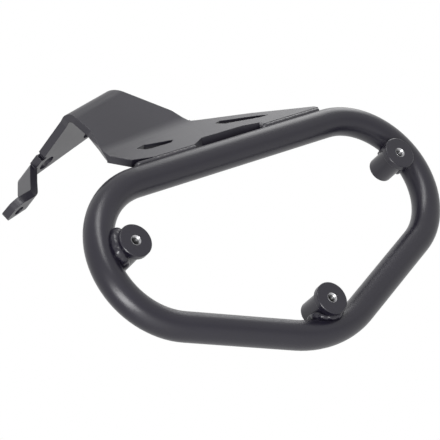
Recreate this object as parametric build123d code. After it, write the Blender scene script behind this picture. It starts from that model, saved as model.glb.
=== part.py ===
from build123d import *
import math
import os

os.makedirs("parts", exist_ok=True)

# Sizes are in millimetres and angles in degrees.
# The origin is where the lower boss's thread starts, just inside the chamfer of its mouth.
# +X runs along the top tube, +Y inboard to the motorbike, +Z up.

# Hoop: one tube bent in three places and closed
tube_diameter = 18.0
tube_wall = 2.0
top_half_straight = 76.5
end_bend_radius = 47.0
bottom_bend_radius = 71.0
bottom_fall = 22.2

# Flanged bosses that carry the pannier, coped against the inside of the hoop
boss_length = 23.5
boss_diameter = 16.2
flange_diameter = 20.5
flange_thickness = 4.0
thread_core_diameter = 5.0
thread_chamfer = 0.6
boss_edge_chamfer = 0.5
end_boss_offset = 15.8
end_boss_rise = 18.0
lower_boss_offset = 15.0

# Bracket: one folded plate
plate_thickness = 5.0
web_slope = 55.0
web_top_height = 7.5
web_fold_angle = 25.0
crest_fold_angle = 88.0
leg_fold_angle = 40.0
web_fold_radius = 20.0
crest_fold_radius = 3.0
leg_fold_radius = 4.0
foot_tip_radius = 6.0
foot_heel_radius = 2.5
leg_corner_radius = 8.0
shelf_hole_diameter = 11.0
foot_hole_diameter = 6.6

# Welds
boss_bead_leg = 2.4
boss_bead_gap = 0.5
plate_bead_crown = 0.6
plate_bead_lap = 0.8
plate_bead_reach = 4.6
front_bead_start = -55.0
front_bead_end = -25.5
rear_bead_start = 32.0
rear_bead_end = 74.5

tube_radius = tube_diameter / 2
boss_radius = boss_diameter / 2
flange_radius = flange_diameter / 2
boss_face_height = boss_length - tube_radius


def cosd(angle):
    return math.cos(math.radians(angle))


def sind(angle):
    return math.sin(math.radians(angle))


# Height of the bottom bend's centre below the top tube's axis
radius_step = end_bend_radius - bottom_bend_radius
bottom_centre_drop = (
    end_bend_radius
    + radius_step * cosd(bottom_fall)
    + (top_half_straight + radius_step * sind(bottom_fall)) * sind(bottom_fall) / cosd(bottom_fall)
)
lower_boss_drop = bottom_centre_drop + bottom_bend_radius - lower_boss_offset
top_axis = Vector(0, boss_face_height - thread_chamfer, lower_boss_drop)
hoop_plane = Plane(origin=top_axis, x_dir=(1, 0, 0), z_dir=(0, -1, 0))


def make_hoop():
    left_end = (-top_half_straight, -end_bend_radius)
    right_end = (top_half_straight, -end_bend_radius)
    bottom = (0, -bottom_centre_drop)
    end_sweep = 180 - bottom_fall
    with BuildLine(hoop_plane) as path:
        top = Line((top_half_straight, 0), (-top_half_straight, 0))
        left = CenterArc(left_end, end_bend_radius, 90, end_sweep)
        low = CenterArc(bottom, bottom_bend_radius, 270 - bottom_fall, 2 * bottom_fall)
        right = CenterArc(right_end, end_bend_radius, 270 + bottom_fall, end_sweep)
        Line(left @ 1, low @ 0)
        Line(low @ 1, right @ 0)
    section_plane = Plane(origin=top_axis, x_dir=(0, 1, 0), z_dir=(1, 0, 0))
    wire = path.wire()
    solid = sweep(section_plane * Circle(tube_radius), path=wire)
    bore = sweep(section_plane * Circle(tube_radius - tube_wall), path=wire)
    weld_reach = sweep(section_plane * Circle(tube_radius + boss_bead_leg), path=wire)
    return solid - bore, solid, weld_reach


hoop, hoop_solid, hoop_weld_reach = make_hoop()

# Centre of each boss in the hoop's plane
end_reach = end_bend_radius - end_boss_offset
end_x = top_half_straight + end_reach * cosd(end_boss_rise)
end_z = -end_bend_radius + end_reach * sind(end_boss_rise)
boss_places = {
    "left": (-end_x, end_z),
    "right": (end_x, end_z),
    "lower": (0, -lower_boss_drop),
}


def make_boss(centre):
    plane = Plane(origin=hoop_plane.from_local_coords((centre[0], centre[1], boss_face_height)),
                  x_dir=(1, 0, 0), z_dir=(0, -1, 0))
    body = extrude(plane * Circle(boss_radius), -boss_length)
    flange = extrude(plane * Circle(flange_radius), -flange_thickness)
    boss = body + flange
    rims = boss.edges().filter_by(GeomType.CIRCLE).filter_by(lambda e: e.radius > thread_core_diameter)
    ends = rims.sort_by(Axis.Y)
    boss = chamfer([ends[0], ends[-1]], boss_edge_chamfer)
    core = extrude(plane * Circle(thread_core_diameter / 2), -boss_length)
    mouth_radius = thread_core_diameter / 2 + thread_chamfer
    mouth = plane * Pos(0, 0, -thread_chamfer / 2) * Cone(
        thread_core_diameter / 2, mouth_radius, thread_chamfer)
    return boss - core - mouth - hoop_solid


def make_boss_bead(centre):
    """Weld round a boss: what lies within a bead's leg of both the boss's side and the tube."""
    start = flange_thickness + boss_bead_gap
    plane = Plane(origin=hoop_plane.from_local_coords((centre[0], centre[1], boss_face_height - start)),
                  x_dir=(1, 0, 0), z_dir=(0, -1, 0))
    length = boss_length - start - boss_edge_chamfer
    collar = extrude(plane * Circle(boss_radius + boss_bead_leg), -length)
    core = extrude(plane * Circle(boss_radius), -length)
    bead = (collar & hoop_weld_reach) - core - hoop_solid
    return bead.solids().sort_by(SortBy.VOLUME)[-1]


# Panels of the bracket. Each plane lies on the panel's outer face, z out of the metal.
web_plane = Plane(
    origin=top_axis + Vector(0, -sind(web_slope), cosd(web_slope)) * web_top_height,
    x_dir=(1, 0, 0),
    z_dir=(0, -sind(web_slope), cosd(web_slope)),
)


def folded(plane, start, end, angle):
    """Plane past a fold from start to end on plane, turned about that line."""
    first = plane.from_local_coords((start[0], start[1], 0))
    last = plane.from_local_coords((end[0], end[1], 0))
    line = (last - first).normalized()
    normal = plane.z_dir.rotate(Axis((0, 0, 0), line), angle)
    return Plane(origin=first, x_dir=line, z_dir=normal)


def slab(plane, corners):
    outline = Polyline(*corners, close=True)
    return extrude(plane * make_face(outline), -plate_thickness)


def across(start, end, amount):
    """Both ends of a fold line moved square to it by amount."""
    run = Vector(end[0] - start[0], end[1] - start[1]).normalized()
    side = Vector(-run.Y, run.X) * amount
    return (start[0] + side.X, start[1] + side.Y), (end[0] + side.X, end[1] + side.Y)


def setback(radius, angle, convex):
    """Distance from a fold's sharp line to where its bend starts, on the outer face."""
    outer = radius + plate_thickness if convex else radius
    return outer * sind(angle / 2) / cosd(angle / 2)


def bend(before, after, start, end, radius, angle, convex):
    """Curved strip of a fold. A convex fold turns away from the outer face."""
    first = before.from_local_coords((start[0], start[1], 0))
    last = before.from_local_coords((end[0], end[1], 0))
    line = (last - first).normalized()
    length = (last - first).length
    middle = (before.z_dir + after.z_dir).normalized()
    if convex:
        side = 1
        centre = first - middle * ((radius + plate_thickness) / cosd(angle / 2))
    else:
        side = -1
        centre = first + middle * (radius / cosd(angle / 2))
    reach = 2 * (radius + plate_thickness)
    wedge_line = Polyline(centre, centre + before.z_dir * side * reach,
                          centre + after.z_dir * side * reach, close=True)
    wedge = extrude(make_face(wedge_line), length, dir=line)
    ring_plane = Plane(origin=centre, z_dir=line)
    ring = extrude(ring_plane * (Circle(radius + plate_thickness) - Circle(radius)), length)
    return wedge & ring


def rounded(panel, plane, spots, radius):
    """Panel with the corners near the given spots of its plane rounded off."""
    places = [plane.from_local_coords((x, y, -plate_thickness / 2)) for x, y in spots]
    corners = panel.edges().filter_by(lambda edge: any((edge @ 0.5 - place).length < 0.01 for place in places))
    return fillet(corners, radius)


def pointed_cut(plane, centre, angle, corners):
    """Long opening that tapers to a point at both ends."""
    outline = Polyline(*corners, close=True)
    shape = plane * Pos(centre[0], centre[1]) * Rot(0, 0, angle) * make_face(outline)
    return extrude(shape, -plate_thickness)


def leaning_cut(plane, corners, depth, lean):
    """Cut into a panel whose walls move by lean, along the panel, for each unit of depth."""
    way = plane.x_dir * lean[0] + plane.y_dir * lean[1] - plane.z_dir
    face = plane * make_face(Polyline(*corners, close=True))
    return extrude(face, depth * way.length, dir=way.normalized())


def hole(plane, centre, diameter):
    return extrude(plane * Pos(centre[0], centre[1]) * Circle(diameter / 2), -plate_thickness)


# The web lies along the top tube, its near edge butted against the tube's side.
# Corners are in the panel's own plane: x along the tube or fold, y away from it.
web_bottom_height = web_top_height - plate_thickness
web_edge = math.sqrt(tube_radius**2 - web_bottom_height**2)
web_fold_left = (-79.1, 27.3)
web_fold_right = (4.0, 35.8)
web_setback = setback(web_fold_radius, web_fold_angle, False)
ramp_plane = folded(web_plane, web_fold_left, web_fold_right, web_fold_angle)
web_start = across(web_fold_left, web_fold_right, -web_setback)
web = slab(web_plane, [
    (-56.0, web_edge),
    (77.0, web_edge),
    (75.5, web_edge + 2.0),
    (66.4, 13.3),
    (33.2, 23.2),
    web_start[1],
    web_start[0],
    (-69.8, 12.0),
])
web_corner_cut = extrude(web_plane * make_face(Polyline(
    (-7.1, 33.1), (33.2, 23.2), (33.2, 60.0), (-7.1, 60.0), close=True)), 12, both=True)

# The ramp rises from the web to the crest. Its rear edge is cut on a slant.
ramp_run = math.dist(web_fold_left, web_fold_right)
crest_left = (-0.7, 34.9)
crest_right = (48.8, 42.0)
crest_setback = setback(crest_fold_radius, crest_fold_angle, True)
shelf_plane = folded(ramp_plane, crest_left, crest_right, -crest_fold_angle)
crest_start = across(crest_left, crest_right, -crest_setback)
ramp_corner = (66.0, 10.2)
ramp = slab(ramp_plane, [
    (0, web_setback),
    (ramp_run, web_setback),
    (ramp_run, ramp_corner[1]),
    crest_start[1],
    crest_start[0],
    (3.0, 16.5),
])
crest_depth = crest_fold_radius + plate_thickness
ramp_edge_cut = extrude(ramp_plane.offset(20) * make_face(Polyline(
    (71.4, -0.5), ramp_corner, (34.1, 45.0), (34.1, 90.0), (95.0, 90.0), (95.0, -0.5), close=True)),
    -20 - crest_depth)

# The shelf runs inboard from the crest.
leg_fold_front = (-3.5, 38.5)
leg_fold_back = (-8.9, 64.0)
leg_plane = folded(shelf_plane, leg_fold_front, leg_fold_back, -leg_fold_angle)
leg_run = math.dist(leg_fold_front, leg_fold_back)
leg_setback = setback(leg_fold_radius, leg_fold_angle, True)
leg_front = 11.0
leg_back = 26.0
relief_start = 0.5
relief_width = 3.0
relief_depth = 3.0


def on_leg_fold(distance):
    share = distance / leg_run
    return (
        leg_fold_front[0] + share * (leg_fold_back[0] - leg_fold_front[0]),
        leg_fold_front[1] + share * (leg_fold_back[1] - leg_fold_front[1]),
    )


leg_start = across(on_leg_fold(leg_front), on_leg_fold(leg_back), -leg_setback)
relief_mouth = (on_leg_fold(relief_start), on_leg_fold(relief_start + relief_width))
relief_floor = across(relief_mouth[0], relief_mouth[1], -relief_depth)
shelf = slab(shelf_plane, [
    (0, crest_setback),
    (0.5, 11.7),
    relief_mouth[0],
    relief_floor[0],
    relief_floor[1],
    relief_mouth[1],
    on_leg_fold(leg_front),
    leg_start[0],
    leg_start[1],
    (-2.0, 60.0),
    (50.0, 46.5),
    (50.0, 25.0),
    (38.0, crest_setback),
])

# The leg steps down from the shelf's front edge to the foot, which is parallel to the shelf.
foot_fold_drop = 25.0
leg_narrow = 10.4
foot_setback = setback(leg_fold_radius, leg_fold_angle, False)
foot_fold_front = (leg_narrow, foot_fold_drop)
foot_fold_back = (22.6, foot_fold_drop)
foot_plane = folded(leg_plane, foot_fold_front, foot_fold_back, leg_fold_angle)
leg_corner = (leg_back, 15.0)
leg = slab(leg_plane, [
    (leg_front, leg_setback),
    (leg_back, leg_setback),
    leg_corner,
    (foot_fold_back[0], foot_fold_drop - foot_setback),
    (leg_narrow, foot_fold_drop - foot_setback),
    (leg_front, 14.0),
])
leg = rounded(leg, leg_plane, [leg_corner], leg_corner_radius)
foot_width = foot_fold_back[0] - leg_narrow
foot_heel = [(16.8, 15.0), (14.7, 17.3)]
foot_tip = [(5.7, 16.2), (1.7, 11.9)]
foot = slab(foot_plane, [(0, foot_setback), (foot_width, foot_setback)] + foot_heel + foot_tip)
foot = rounded(foot, foot_plane, foot_heel, foot_heel_radius)
foot = rounded(foot, foot_plane, foot_tip, foot_tip_radius)

plate = web
plate = plate + bend(web_plane, ramp_plane, web_fold_left, web_fold_right,
                     web_fold_radius, web_fold_angle, False)
plate = plate + ramp
plate = plate + bend(ramp_plane, shelf_plane, crest_left, crest_right,
                     crest_fold_radius, crest_fold_angle, True)
plate = plate - ramp_edge_cut
plate = plate - web_corner_cut
plate = plate + shelf
plate = plate + bend(shelf_plane, leg_plane, on_leg_fold(leg_front), on_leg_fold(leg_back),
                     leg_fold_radius, leg_fold_angle, True)
plate = plate + leg
plate = plate + bend(leg_plane, foot_plane, foot_fold_front, foot_fold_back,
                     leg_fold_radius, leg_fold_angle, False)
plate = plate + foot

# The near edge is bevelled on the underside where the web turns up into the ramp.
bevel_rise = 3.0
bevel_depth = 12.0
plate = plate - leaning_cut(ramp_plane.offset(bevel_rise), [
    (-16.0, -9.0),
    (-2.6, -5.0),
    (-1.5, web_setback),
    (-1.5, 18.0),
    (-16.0, 18.0),
], bevel_depth, (0.55, 0.0))

# Openings of the plate. The long cut beside the tube leans towards it.
plate = plate - leaning_cut(web_plane, [
    (-25.0, web_edge - 4.0),
    (-25.0, web_edge),
    (-15.5, 13.2),
    (17.0, 13.0),
    (29.5, 11.0),
    (31.5, web_edge),
    (31.5, web_edge - 4.0),
], plate_thickness, (0.0, -0.42))
plate = plate - pointed_cut(web_plane, (-45.7, 20.1), -6.0, [
    (-13.4, 0.0), (-9.0, -2.6), (-5.0, -3.0), (10.5, -1.3), (13.4, 0.9), (-5.0, 1.9), (-6.5, 2.3)])
plate = plate - pointed_cut(web_plane, (23.0, 19.7), -11.0, [
    (-19.2, 0.0), (-13.5, -2.0), (12.0, -1.2), (19.2, 0.0), (12.0, 1.1), (-14.8, 2.0)])
plate = plate - hole(shelf_plane, (4.6, 49.4), shelf_hole_diameter)
plate = plate - hole(shelf_plane, (41.0, 40.4), shelf_hole_diameter)
plate = plate - hole(foot_plane, (9.7, 9.5), foot_hole_diameter)
plate = plate - hoop_solid

nodes = {"hoop_tube": hoop, "bracket_plate": plate}
for name, centre in boss_places.items():
    boss = make_boss(centre)
    nodes["boss_" + name] = boss
    nodes["boss_bead_" + name] = make_boss_bead(centre)


def plate_bead(start, end, corners):
    """Weld along the tube between two x values, its section drawn across the tube."""
    plane = Plane(origin=top_axis + Vector(start, 0, 0), x_dir=(0, cosd(web_slope), sind(web_slope)),
                  z_dir=(1, 0, 0))
    bead = extrude(plane * make_face(Polyline(*corners, close=True)), end - start)
    bead = bead - hoop_solid - plate
    return bead.solids().sort_by(SortBy.VOLUME)[-1]


bead_section = [
    (web_edge, web_bottom_height + plate_bead_crown),
    (web_edge, web_top_height),
    (web_edge + plate_bead_lap, web_top_height),
    (web_edge - 0.2, web_top_height + plate_bead_crown),
    (web_edge - plate_bead_reach / 2, web_top_height + plate_bead_crown),
    (web_edge - plate_bead_reach, web_top_height + plate_bead_crown / 2),
    (web_edge - plate_bead_reach, web_bottom_height + plate_bead_crown),
]
nodes["plate_bead_front"] = plate_bead(front_bead_start, front_bead_end, bead_section)
nodes["plate_bead_rear"] = plate_bead(rear_bead_start, rear_bead_end, bead_section)

for name, shape in nodes.items():
    solids = shape.solids()
    export_step(solids[0] if len(solids) == 1 else shape, "parts/" + name + ".step")
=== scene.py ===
"""Looks of the pannier frame: powder coat, bare threads, hand-laid welds and a white studio."""

import math

import bpy
from bpy.props import FloatProperty, FloatVectorProperty, IntProperty, PointerProperty
from mathutils import Matrix, Vector


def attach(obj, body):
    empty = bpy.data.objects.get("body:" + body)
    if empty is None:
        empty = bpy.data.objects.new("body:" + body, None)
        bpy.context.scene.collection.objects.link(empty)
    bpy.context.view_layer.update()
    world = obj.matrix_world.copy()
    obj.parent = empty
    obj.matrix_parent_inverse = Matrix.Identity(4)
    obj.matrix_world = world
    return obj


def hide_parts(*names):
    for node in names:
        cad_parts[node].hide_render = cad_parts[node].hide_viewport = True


bl_info = {
    "name": "Pannier frame looks",
    "version": (1, 0, 0),
    "blender": (4, 5, 0),
    "location": "View3D > Sidebar > Pannier",
    "description": "Dresses the packed pannier frame with its coating, threads, welds and studio",
    "category": "Object",
}

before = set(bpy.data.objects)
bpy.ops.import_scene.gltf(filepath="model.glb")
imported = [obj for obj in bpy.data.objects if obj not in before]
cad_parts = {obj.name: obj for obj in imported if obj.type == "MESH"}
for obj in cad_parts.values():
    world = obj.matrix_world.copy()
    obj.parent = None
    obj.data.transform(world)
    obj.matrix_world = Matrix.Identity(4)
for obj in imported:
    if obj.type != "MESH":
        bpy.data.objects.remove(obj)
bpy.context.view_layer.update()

MM = 0.001

# The solids' sizes that the welds and threads follow, in millimetres
TUBE_RADIUS = 9.0
BOSS_RADIUS = 8.1
THREAD_CHAMFER = 0.6
CORE_RADIUS = 2.5
TUBE_DEPTH = 13.9
TOP_TUBE_HEIGHT = 108.2975

# The web's slope from level, in degrees
WEB_SLOPE = 55.0

# Each boss, in millimetres and degrees: where its thread starts, the way to the tube,
# the distance to the tube's axis and the radius of the tube's bend
BOSSES = {
    "left": ((-106.173, 0.0, 70.939), 162.0, 15.8, 47.0),
    "right": ((106.173, 0.0, 70.939), 18.0, 15.8, 47.0),
    "lower": ((0.0, 0.0, 0.0), 270.0, 15.0, 71.0),
}

# How full the bead round each boss is, where one is a full bead
FULLNESS = {"left": 1.3, "right": 0.75, "lower": 0.92}

# Each bead along the plate, in millimetres: points given by their place along the tube,
# up the plate and off the plate, from the top tube's axis
PLATE_RUNS = {
    "front": ((-67.0, 8.6, 5.6), (-56.0, 7.0, 6.5), (-27.5, 7.0, 6.5)),
    "rear": ((31.5, 7.0, 6.5), (74.5, 7.0, 6.5)),
}

# A bead's drops: their lean in degrees, half their length in ripples,
# and the passes that even their skin
DROP_LEAN = -13.0
DROP_LENGTH = 1.3
EVENING_PASSES = 14

# Points on the line that a bead follows round a boss
BEAD_STEPS = 96

# Half the width of the thread's ridge, in pitches, and the flats in one turn
RIDGE_HALF = 0.46
TURN_STEPS = 48

# How far the bare metal at a thread's mouth stands proud of the boss, in metres
MOUTH_PROUD = 0.00008

# Points nearer than this are one point, in metres
SAME_POINT = 0.000001

# Refractive index of a cured powder coat
COAT_INDEX = 1.5

# The part of each noise that is spread out into a tone or a gloss
CLOUD_SPAN = (0.3, 0.7)
SPECK_SPAN = (0.35, 0.65)
WHOLE_SPAN = (0.0, 1.0)

# Each softbox, in metres: its place, width and height, and the point that all of them face
SOFTBOXES = {
    "low": ((-0.949, -0.632, -0.27), 0.785, 0.327),
    "front": ((-0.242, -0.887, 0.863), 0.34, 0.9),
    "overhead": ((0.63, 0.0, 0.66), 0.5, 0.4),
}
SOFTBOX_AIM = (0.0, 0.02, 0.07)

# The floor's side in metres, its paleness, and the lift that shows it near white
FLOOR_SIDE = 12.0
FLOOR_TONE = 0.82
FLOOR_LIFT = 0.5

# The camera's place and its sensor's width in millimetres, and its directions to the right and up
CAMERA_PLACE = (-799.0, -933.0, -205.6)
CAMERA_RIGHT = (0.7494, -0.4686, -0.4678)
CAMERA_UP = (0.2512, -0.4525, 0.8556)
SENSOR_WIDTH = 36.0

WHITE = (1.0, 1.0, 1.0, 1.0)


class PannierCoat(bpy.types.PropertyGroup):
    """Powder coat on the tube, the plate, the bosses and the welds"""

    colour: FloatVectorProperty(
        name="Colour", description="Colour of the coat", subtype="COLOR", size=3,
        default=(0.0068, 0.0056, 0.0122), min=0, max=1)
    tube_roughness: FloatProperty(
        name="Tube roughness", description="Roughness of the coat on the tube and bosses",
        subtype="FACTOR", default=0.31, min=0, max=1)
    plate_roughness: FloatProperty(
        name="Plate roughness", description="Roughness of the coat on the plate and its welds",
        subtype="FACTOR", default=0.37, min=0, max=1)
    plate_index: FloatProperty(
        name="Plate index", description="Refractive index of the coat on the plate and its welds",
        default=1.6, min=1, max=3)
    weld_roughness: FloatProperty(
        name="Weld roughness", description="Roughness of the coat on the welds round the bosses",
        subtype="FACTOR", default=0.28, min=0, max=1)
    peel_size: FloatProperty(
        name="Peel size", description="Width of the coat's fine bumps",
        unit="LENGTH", default=0.0011, min=0.0001, max=0.01)
    peel_depth: FloatProperty(
        name="Peel depth", description="Height of the coat's fine bumps",
        unit="LENGTH", default=0.000022, min=0, max=0.001)
    edge_radius: FloatProperty(
        name="Edge radius", description="Rounding of cut edges under the coat",
        unit="LENGTH", default=0.0006, min=0, max=0.003)


class PannierThread(bpy.types.PropertyGroup):
    """Thread cut in each boss"""

    pitch: FloatProperty(
        name="Pitch", description="Rise of one turn",
        unit="LENGTH", default=0.001, min=0.0003, max=0.003)
    height: FloatProperty(
        name="Height", description="Height of the ridge",
        unit="LENGTH", default=0.00035, min=0.0001, max=0.001)
    turns: IntProperty(
        name="Turns", description="Number of turns", default=21, min=1, max=40)
    mouth_radius: FloatProperty(
        name="Mouth radius", description="Outer radius of the bare metal round the mouth",
        unit="LENGTH", default=0.0032, min=0.0031, max=0.006)
    # The thread's steel is set far darker than the mouth's bare steel: painted shade deep in the
    # bore
    colour: FloatVectorProperty(
        name="Colour", description="Colour of the steel down the thread", subtype="COLOR", size=3,
        default=(0.16, 0.16, 0.165), min=0, max=1)
    mouth_colour: FloatVectorProperty(
        name="Mouth colour", description="Colour of the bare steel at the mouth", subtype="COLOR",
        size=3, default=(0.48, 0.48, 0.49), min=0, max=1)


class PannierWelds(bpy.types.PropertyGroup):
    """Hand-laid weld beads"""

    boss_ripple: FloatProperty(
        name="Boss ripple", description="Distance between two ripples round the bosses",
        unit="LENGTH", default=0.0044, min=0.0005, max=0.01)
    plate_ripple: FloatProperty(
        name="Plate ripple", description="Distance between two ripples along the plate",
        unit="LENGTH", default=0.0026, min=0.0005, max=0.01)
    boss_width: FloatProperty(
        name="Boss bead width", description="Half the width of a full bead round a boss",
        unit="LENGTH", default=0.0031, min=0.0005, max=0.01)
    boss_rise: FloatProperty(
        name="Boss bead rise", description="Half the height of a full bead round a boss",
        unit="LENGTH", default=0.0027, min=0.0005, max=0.01)
    boss_ease: FloatProperty(
        name="Boss ease", description="How far a full bead stands out of the corner round a boss",
        unit="LENGTH", default=0.0014, min=0, max=0.005)
    plate_width: FloatProperty(
        name="Plate bead width", description="Half the width of the beads along the plate",
        unit="LENGTH", default=0.0019, min=0.0005, max=0.01)
    plate_rise: FloatProperty(
        name="Plate bead rise", description="Half the height of the beads along the plate",
        unit="LENGTH", default=0.0014, min=0.0005, max=0.01)
    skin: FloatProperty(
        name="Skin", description="Size of the mesh cells of a bead",
        unit="LENGTH", default=0.00035, min=0.0001, max=0.002)


class PannierStudio(bpy.types.PropertyGroup):
    """Floor, light and camera"""

    floor_height: FloatProperty(
        name="Floor height", description="Height of the floor",
        unit="LENGTH", default=-0.62, min=-5, max=0)
    low_power: FloatProperty(
        name="Low softbox", description="Power of the wide softbox low on the left",
        unit="POWER", default=12.0, min=0, max=1000)
    front_power: FloatProperty(
        name="Front softbox", description="Power of the tall softbox above the camera",
        unit="POWER", default=6.6, min=0, max=1000)
    overhead_power: FloatProperty(
        name="Overhead softbox", description="Power of the softbox above on the right",
        unit="POWER", default=1.4, min=0, max=1000)
    surround: FloatProperty(
        name="Surround", description="Strength of the surround as a light",
        default=0.42, min=0, max=5)
    lens: FloatProperty(
        name="Lens", description="Focal length of the camera", default=173.94, min=10, max=500)


def deselect_all():
    if bpy.context.mode != "OBJECT":
        bpy.ops.object.mode_set(mode="OBJECT")
    bpy.ops.object.select_all(action="DESELECT")


def settle(piece):
    """Put the piece's place into its mesh, so that its object sits at the origin."""
    deselect_all()
    piece.select_set(True)
    bpy.context.view_layer.objects.active = piece
    bpy.ops.object.transform_apply(location=True, rotation=True, scale=True)


def copy_of(model):
    """A copy of the model with a mesh of its own."""
    piece = model.copy()
    piece.data = model.data.copy()
    bpy.context.collection.objects.link(piece)
    return piece


def apply_modifier(piece, kind, **values):
    """Add a modifier to the active piece and apply it."""
    made = piece.modifiers.new(kind.lower(), kind)
    for key, value in values.items():
        setattr(made, key, value)
    bpy.ops.object.modifier_apply(modifier=made.name)


def finish_piece(piece, name, material):
    """Name the piece, give it its material and let it ride on the frame."""
    piece.name = piece.data.name = name
    piece.data.materials.clear()
    piece.data.materials.append(material)
    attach(piece, "root")


def link(tree, start, start_socket, end, end_socket):
    tree.links.new(start.outputs[start_socket], end.inputs[end_socket])


def place_node(tree, kind, place, **values):
    made = tree.nodes.new(kind)
    made.location = place
    for key, value in values.items():
        setattr(made, key, value)
    return made


def noise(tree, place, coordinates, detail, scale=None):
    """Noise fixed to the piece. Its scale, in features per metre, may come by a link instead."""
    made = place_node(tree, "ShaderNodeTexNoise", place)
    made.inputs["Detail"].default_value = detail
    if scale is not None:
        made.inputs["Scale"].default_value = scale
    link(tree, coordinates, "Object", made, "Vector")
    return made


def spread(tree, place, source, span, low, high):
    """The span of a noise, spread from low to high."""
    made = place_node(tree, "ShaderNodeMapRange", place)
    made.inputs["From Min"].default_value = span[0]
    made.inputs["From Max"].default_value = span[1]
    made.inputs["To Min"].default_value = low
    made.inputs["To Max"].default_value = high
    link(tree, source, "Fac", made, "Value")
    return made


def coat_group():
    """Cloudy tone, uneven gloss and fine bumps of a baked powder coat."""
    group = bpy.data.node_groups.new("powder_coat_skin", "ShaderNodeTree")
    face = group.interface
    face.new_socket("Colour", in_out="INPUT", socket_type="NodeSocketColor")
    face.new_socket("Roughness", in_out="INPUT", socket_type="NodeSocketFloat")
    face.new_socket("Bumps per metre", in_out="INPUT", socket_type="NodeSocketFloat")
    face.new_socket("Colour", in_out="OUTPUT", socket_type="NodeSocketColor")
    face.new_socket("Roughness", in_out="OUTPUT", socket_type="NodeSocketFloat")
    face.new_socket("Height", in_out="OUTPUT", socket_type="NodeSocketFloat")
    start = place_node(group, "NodeGroupInput", (-900, 0))
    end = place_node(group, "NodeGroupOutput", (600, 0))
    place = place_node(group, "ShaderNodeTexCoord", (-900, -300))

    peel = noise(group, (-600, -300), place, detail=2.0)
    peel.inputs["Roughness"].default_value = 0.45
    link(group, start, "Bumps per metre", peel, "Scale")
    link(group, peel, "Fac", end, "Height")

    cloud = noise(group, (-600, 0), place, detail=3.0, scale=28.0)
    tone = spread(group, (-350, 150), cloud, CLOUD_SPAN, low=0.92, high=1.08)
    speck = noise(group, (-600, 300), place, detail=1.0, scale=2600.0)
    grain = spread(group, (-350, 420), speck, SPECK_SPAN, low=0.88, high=1.12)
    both = place_node(group, "ShaderNodeMath", (-120, 300), operation="MULTIPLY")
    link(group, tone, "Result", both, 0)
    link(group, grain, "Result", both, 1)
    tint = place_node(group, "ShaderNodeVectorMath", (120, 200), operation="SCALE")
    link(group, start, "Colour", tint, 0)
    link(group, both, "Value", tint, "Scale")
    link(group, tint, "Vector", end, "Colour")

    gloss = spread(group, (-350, -80), cloud, CLOUD_SPAN, low=-0.03, high=0.03)
    uneven = place_node(group, "ShaderNodeMath", (-120, -60), operation="ADD")
    link(group, start, "Roughness", uneven, 0)
    link(group, gloss, "Result", uneven, 1)
    link(group, uneven, "Value", end, "Roughness")
    return group


def new_material(name):
    material = bpy.data.materials.new(name)
    material.use_nodes = True
    tree = material.node_tree
    return material, tree, tree.nodes["Principled BSDF"]


def powder_coat(name, coat, group, roughness, index, cut_edges):
    """One powder-coated finish, softened along cut edges where the piece has them."""
    material, tree, shader = new_material(name)
    skin = place_node(tree, "ShaderNodeGroup", (-600, 200))
    skin.node_tree = group
    skin.inputs["Colour"].default_value = (*coat.colour, 1.0)
    skin.inputs["Roughness"].default_value = roughness
    skin.inputs["Bumps per metre"].default_value = 1.0 / coat.peel_size
    bump = place_node(tree, "ShaderNodeBump", (-300, -100))
    bump.inputs["Strength"].default_value = 1.0
    bump.inputs["Distance"].default_value = coat.peel_depth
    link(tree, skin, "Height", bump, "Height")
    if cut_edges:
        soft = place_node(tree, "ShaderNodeBevel", (-600, -200), samples=6)
        soft.inputs["Radius"].default_value = coat.edge_radius
        link(tree, soft, "Normal", bump, "Normal")
    link(tree, skin, "Colour", shader, "Base Color")
    link(tree, skin, "Roughness", shader, "Roughness")
    link(tree, bump, "Normal", shader, "Normal")
    shader.inputs["IOR"].default_value = index
    return material


def bare_steel(name, colour):
    """Cut steel with uneven tone and gloss."""
    material, tree, shader = new_material(name)
    place = place_node(tree, "ShaderNodeTexCoord", (-900, 0))
    mark = noise(tree, (-650, 0), place, detail=2.0, scale=900.0)
    gloss = spread(tree, (-350, -100), mark, WHOLE_SPAN, low=0.22, high=0.45)
    tone = spread(tree, (-350, 150), mark, WHOLE_SPAN, low=0.7, high=1.1)
    tint = place_node(tree, "ShaderNodeVectorMath", (-120, 150), operation="SCALE")
    tint.inputs[0].default_value = colour
    link(tree, tone, "Result", tint, "Scale")
    link(tree, tint, "Vector", shader, "Base Color")
    link(tree, gloss, "Result", shader, "Roughness")
    shader.inputs["Metallic"].default_value = 1.0
    return material


class PANNIER_OT_coat(bpy.types.Operator):
    """Give every solid of the frame its powder coat"""

    bl_idname = "pannier.coat"
    bl_label = "Powder coat"

    def execute(self, context):
        coat = context.scene.pannier_coat
        group = coat_group()
        tube = powder_coat(
            "tube_powder_coat", coat, group, coat.tube_roughness, COAT_INDEX, cut_edges=False)
        plate = powder_coat(
            "plate_powder_coat", coat, group, coat.plate_roughness, coat.plate_index,
            cut_edges=True)
        boss = powder_coat(
            "boss_powder_coat", coat, group, coat.tube_roughness, COAT_INDEX, cut_edges=True)
        weld = powder_coat(
            "weld_powder_coat", coat, group, coat.weld_roughness, COAT_INDEX, cut_edges=False)
        for name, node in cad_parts.items():
            finish = boss
            if name == "hoop_tube":
                finish = tube
            elif name.startswith(("bracket_plate", "plate_bead")):
                finish = plate
            elif name.startswith("boss_bead"):
                finish = weld
            node.data.materials.clear()
            node.data.materials.append(finish)
        return {"FINISHED"}


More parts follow.
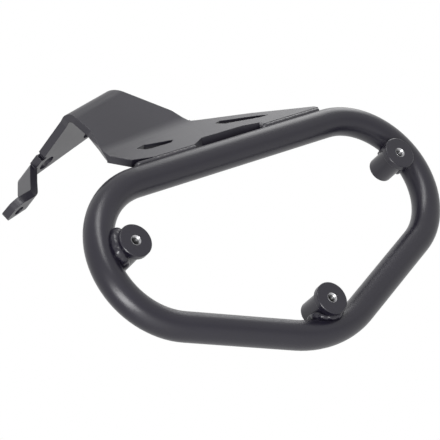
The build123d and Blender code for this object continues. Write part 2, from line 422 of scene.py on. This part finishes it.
class PANNIER_OT_threads(bpy.types.Operator):
    """Wind a bare steel thread inside each boss and bare its mouth"""

    bl_idname = "pannier.threads"
    bl_label = "Threads"

    def execute(self, context):
        thread = context.scene.pannier_thread
        ridge = self.turned(self.ridge_section(thread), thread.pitch, thread.turns)
        mouth = self.turned(self.mouth_section(thread), 0.0, 1)
        # The thread gets a darkened copy of the mouth's bare steel as painted shade down the bore;
        # the mouth keeps the steel's own tone
        steel = bare_steel("thread_steel", thread.colour)
        bright = bare_steel("mouth_steel", thread.mouth_colour)
        kinds = (("thread_", ridge, steel), ("thread_mouth_", mouth, bright))
        for name, boss in BOSSES.items():
            for kind, model, material in kinds:
                piece = copy_of(model)
                piece.location = Vector(boss[0]) * MM
                settle(piece)
                finish_piece(piece, kind + name, material)
        for model in (ridge, mouth):
            bpy.data.objects.remove(model)
        return {"FINISHED"}

    def ridge_section(self, thread):
        """Pointed ridge on the bore's wall, as radius and depth."""
        wall = CORE_RADIUS * MM
        half = RIDGE_HALF * thread.pitch
        start = 0.5 * thread.pitch
        return [(wall, start - half), (wall - thread.height, start), (wall, start + half)]

    def mouth_section(self, thread):
        """Bare lip on the face and the run-in of the thread, as radius and depth."""
        face = -THREAD_CHAMFER * MM
        core = CORE_RADIUS * MM
        rim = core + THREAD_CHAMFER * MM
        return [
            (thread.mouth_radius, face + MOUTH_PROUD),
            (thread.mouth_radius - MOUTH_PROUD, face - MOUTH_PROUD),
            (rim - MOUTH_PROUD, face - MOUTH_PROUD),
            (core - thread.height, 0.5 * thread.pitch),
            (core - thread.height, thread.pitch),
            (core + MOUTH_PROUD, thread.pitch),
            (rim + MOUTH_PROUD, face + 2.0 * MOUTH_PROUD),
        ]

    def turned(self, section, pitch, turns):
        """A closed section turned about the thread's axis, rising by the pitch."""
        deselect_all()
        bpy.ops.mesh.primitive_circle_add(
            vertices=len(section), radius=CORE_RADIUS * MM, fill_type="NOTHING")
        piece = bpy.context.object
        for vertex, (radius, depth) in zip(piece.data.vertices, section):
            vertex.co = (radius, depth, 0.0)
        apply_modifier(
            piece, "SCREW", axis="Y", screw_offset=pitch, iterations=turns, steps=TURN_STEPS,
            render_steps=TURN_STEPS, use_merge_vertices=pitch == 0.0,
            merge_threshold=SAME_POINT, use_smooth_shade=False)
        bpy.ops.object.mode_set(mode="EDIT")
        bpy.ops.mesh.select_mode(type="EDGE")
        bpy.ops.mesh.select_all(action="DESELECT")
        bpy.ops.mesh.select_non_manifold()
        bpy.ops.mesh.fill_holes(sides=len(section))
        bpy.ops.mesh.select_all(action="SELECT")
        bpy.ops.mesh.normals_make_consistent(inside=False)
        bpy.ops.object.mode_set(mode="OBJECT")
        return piece


def unevenness(index):
    """Size of one drop of a bead, as a hand makes it."""
    return 1.0 + 0.05 * math.sin(2.3 * index) + 0.03 * math.sin(5.1 * index + 1.0)


def spaced(route, gap):
    """Points a gap apart along the route, each with the route's way and the way out of it."""
    spots = []
    carry = 0.0
    for (here, lift), (there, next_lift) in zip(route, route[1:]):
        run = (there - here).length
        way = (there - here).normalized()
        while carry < run:
            share = carry / run
            out = lift.lerp(next_lift, share).normalized()
            spots.append((here.lerp(there, share), way, (out - way * out.dot(way)).normalized()))
            carry += gap
        carry -= run
    return spots


def laid_bead(route, width, rise, ripple, cell):
    """One bead: a row of overlapping leaning drops along the route, skinned into one body."""
    deselect_all()
    bpy.ops.mesh.primitive_uv_sphere_add(segments=24, ring_count=16, radius=1.0)
    piece = bpy.context.object
    spots = spaced(route, ripple)
    drops = [piece] + [copy_of(piece) for _ in spots[1:]]
    lean = Matrix.Rotation(math.radians(DROP_LEAN), 4, "X")
    for index, (drop, (spot, way, lift)) in enumerate(zip(drops, spots)):
        side = way.cross(lift).normalized()
        turn = Matrix((side, lift, way)).transposed().to_4x4()
        swell = unevenness(index)
        size = Matrix.Diagonal((width * swell, rise * swell, DROP_LENGTH * ripple, 1.0))
        drop.matrix_world = Matrix.Translation(spot) @ turn @ lean @ size
    deselect_all()
    for drop in drops:
        drop.select_set(True)
    bpy.context.view_layer.objects.active = piece
    bpy.ops.object.join()
    settle(piece)
    apply_modifier(piece, "REMESH", mode="VOXEL", voxel_size=cell, use_smooth_shade=True)
    apply_modifier(piece, "SMOOTH", factor=0.5, iterations=EVENING_PASSES)
    return piece


class PANNIER_OT_boss_welds(bpy.types.Operator):
    """Lay a bead round each boss where it meets the tube"""

    bl_idname = "pannier.boss_welds"
    bl_label = "Boss welds"

    def execute(self, context):
        welds = context.scene.pannier_welds
        finish = bpy.data.materials["weld_powder_coat"]
        for name, (mouth, heading, offset, bend) in BOSSES.items():
            full = FULLNESS[name]
            route = self.joint(Vector(mouth), heading, offset, bend, full * welds.boss_ease / MM)
            piece = laid_bead(
                route, full * welds.boss_width, full * welds.boss_rise,
                welds.boss_ripple, welds.skin)
            finish_piece(piece, "weld_" + name, finish)
            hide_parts("boss_bead_" + name)
        return {"FINISHED"}

    def joint(self, mouth, heading, offset, bend, ease):
        """The line just outside the corner where a boss's side meets the bent tube, once round."""
        boss = BOSS_RADIUS + ease
        tube = TUBE_RADIUS + ease
        outward = Vector((math.cos(math.radians(heading)), 0.0, math.sin(math.radians(heading))))
        along = Vector((-outward.z, 0.0, outward.x))
        deep = Vector((0.0, 1.0, 0.0))
        middle = mouth + deep * TUBE_DEPTH

        def gap(t):
            """From the boss's side to the tube's axis, at t along the tube."""
            return offset - t * t / (2.0 * bend) - math.sqrt(boss**2 - t * t)

        # The furthest place along the tube where the boss's side still meets it
        low, high = 0.0, boss
        while high - low > 1e-6:
            t = (low + high) / 2
            low, high = (t, high) if gap(t) < tube else (low, t)
        route = []
        for step in range(BEAD_STEPS + 1):
            angle = 2.0 * math.pi * step / BEAD_STEPS
            t = low * math.sin(angle)
            y = math.copysign(math.sqrt(max(0.0, tube**2 - gap(t)**2)), math.cos(angle))
            spot = middle + along * t + deep * y + outward * math.sqrt(boss**2 - t * t)
            route.append((spot * MM, (along * t + deep * y).normalized()))
        return route


class PANNIER_OT_plate_welds(bpy.types.Operator):
    """Lay beads along the tube where the plate is welded to it"""

    bl_idname = "pannier.plate_welds"
    bl_label = "Plate welds"

    def execute(self, context):
        welds = context.scene.pannier_welds
        finish = bpy.data.materials["plate_powder_coat"]
        slope = math.radians(WEB_SLOPE)
        up_plate = Vector((0.0, math.cos(slope), math.sin(slope)))
        off_plate = Vector((0.0, -math.sin(slope), math.cos(slope)))
        for name, line in PLATE_RUNS.items():
            route = []
            for along, up, off in line:
                axis = Vector((along, TUBE_DEPTH, TOP_TUBE_HEIGHT))
                route.append(((axis + up_plate * up + off_plate * off) * MM, off_plate))
            piece = laid_bead(
                route, welds.plate_width, welds.plate_rise, welds.plate_ripple, welds.skin)
            finish_piece(piece, "plate_weld_" + name, finish)
            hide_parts("plate_bead_" + name)
        return {"FINISHED"}


def seen_rays(tree):
    """One for rays that show the surround: from the camera, off gloss and through clear things."""
    path = place_node(tree, "ShaderNodeLightPath", (-800, 200))
    seen = place_node(tree, "ShaderNodeMath", (-550, 200), operation="MAXIMUM")
    link(tree, path, "Is Camera Ray", seen, 0)
    link(tree, path, "Is Glossy Ray", seen, 1)
    shown = place_node(tree, "ShaderNodeMath", (-350, 200), operation="MAXIMUM")
    link(tree, seen, "Value", shown, 0)
    link(tree, path, "Is Transmission Ray", shown, 1)
    return shown


def pale_floor(studio):
    """A pale floor that shows near white and keeps the shadow."""
    deselect_all()
    bpy.ops.mesh.primitive_plane_add(size=FLOOR_SIDE, location=(0.0, 0.0, studio.floor_height))
    floor = bpy.context.object
    floor.name = floor.data.name = "floor"
    settle(floor)
    material, tree, shader = new_material("pale_floor")
    shader.inputs["Base Color"].default_value = (FLOOR_TONE, FLOOR_TONE, FLOOR_TONE, 1.0)
    shader.inputs["Roughness"].default_value = 0.9
    shader.inputs["Specular IOR Level"].default_value = 0.0
    shader.inputs["Emission Color"].default_value = WHITE
    lift = place_node(tree, "ShaderNodeMath", (-150, -200), operation="MULTIPLY")
    link(tree, seen_rays(tree), "Value", lift, 0)
    lift.inputs[1].default_value = FLOOR_LIFT
    link(tree, lift, "Value", shader, "Emission Strength")
    floor.data.materials.append(material)


def white_world(studio):
    """A surround that lights the part gently and shows as white."""
    world = bpy.data.worlds.new("white_studio")
    bpy.context.scene.world = world
    world.use_nodes = True
    tree = world.node_tree
    tree.nodes.clear()
    light = place_node(tree, "ShaderNodeBackground", (-150, 0))
    light.inputs["Color"].default_value = WHITE
    light.inputs["Strength"].default_value = studio.surround
    backdrop = place_node(tree, "ShaderNodeBackground", (-150, -150))
    backdrop.inputs["Color"].default_value = WHITE
    backdrop.inputs["Strength"].default_value = 1.0
    either = place_node(tree, "ShaderNodeMixShader", (100, 50))
    link(tree, seen_rays(tree), "Value", either, 0)
    link(tree, light, "Background", either, 1)
    link(tree, backdrop, "Background", either, 2)
    end = place_node(tree, "ShaderNodeOutputWorld", (300, 50))
    link(tree, either, "Shader", end, "Surface")


def softbox(name, place, width, height, power):
    """A softbox that faces the part and stays out of the picture."""
    deselect_all()
    bpy.ops.object.light_add(type="AREA", location=place)
    lamp = bpy.context.object
    lamp.name = lamp.data.name = name
    lamp.visible_camera = False
    lamp.data.shape = "RECTANGLE"
    lamp.data.size = width
    lamp.data.size_y = height
    lamp.data.energy = power
    aim = Vector(SOFTBOX_AIM) - Vector(place)
    lamp.rotation_euler = aim.to_track_quat("-Z", "Y").to_euler()


def photo_camera(studio):
    """The camera at the photo's viewing angle."""
    deselect_all()
    bpy.ops.object.camera_add()
    camera = bpy.context.object
    camera.name = camera.data.name = "camera"
    right = Vector(CAMERA_RIGHT)
    back = right.cross(Vector(CAMERA_UP)).normalized()
    up = back.cross(right).normalized()
    turn = Matrix((right.normalized(), up, back)).transposed().to_4x4()
    camera.matrix_world = Matrix.Translation(Vector(CAMERA_PLACE) * MM) @ turn
    camera.data.sensor_width = SENSOR_WIDTH
    camera.data.lens = studio.lens
    camera.data.clip_start = 0.05
    camera.data.clip_end = 50.0
    bpy.context.scene.camera = camera


class PANNIER_OT_studio(bpy.types.Operator):
    """Set the floor, the soft light, the white surround and the camera"""

    bl_idname = "pannier.studio"
    bl_label = "Studio"

    def execute(self, context):
        studio = context.scene.pannier_studio
        pale_floor(studio)
        white_world(studio)
        for name, (place, width, height) in SOFTBOXES.items():
            softbox(name + "_softbox", place, width, height, getattr(studio, name + "_power"))
        photo_camera(studio)
        context.scene.view_settings.view_transform = "Standard"
        return {"FINISHED"}


class PANNIER_PT_looks(bpy.types.Panel):
    """Operators of the pannier frame's looks"""

    bl_idname = "PANNIER_PT_looks"
    bl_label = "Pannier frame"
    bl_space_type = "VIEW_3D"
    bl_region_type = "UI"
    bl_category = "Pannier"

    def draw(self, context):
        for operator in OPERATORS:
            self.layout.operator(operator.bl_idname)


GROUPS = {
    "pannier_coat": PannierCoat,
    "pannier_thread": PannierThread,
    "pannier_welds": PannierWelds,
    "pannier_studio": PannierStudio,
}
OPERATORS = (
    PANNIER_OT_coat,
    PANNIER_OT_threads,
    PANNIER_OT_boss_welds,
    PANNIER_OT_plate_welds,
    PANNIER_OT_studio,
)


def register():
    for group in GROUPS.values():
        bpy.utils.register_class(group)
    for name, group in GROUPS.items():
        setattr(bpy.types.Scene, name, PointerProperty(type=group))
    for operator in OPERATORS:
        bpy.utils.register_class(operator)
    bpy.utils.register_class(PANNIER_PT_looks)


def unregister():
    bpy.utils.unregister_class(PANNIER_PT_looks)
    for operator in reversed(OPERATORS):
        bpy.utils.unregister_class(operator)
    for name in GROUPS:
        delattr(bpy.types.Scene, name)
    for group in reversed(list(GROUPS.values())):
        bpy.utils.unregister_class(group)


def main():
    register()
    bpy.ops.pannier.coat()
    bpy.ops.pannier.threads()
    bpy.ops.pannier.boss_welds()
    bpy.ops.pannier.plate_welds()
    bpy.ops.pannier.studio()


if __name__ == "__main__":
    main()
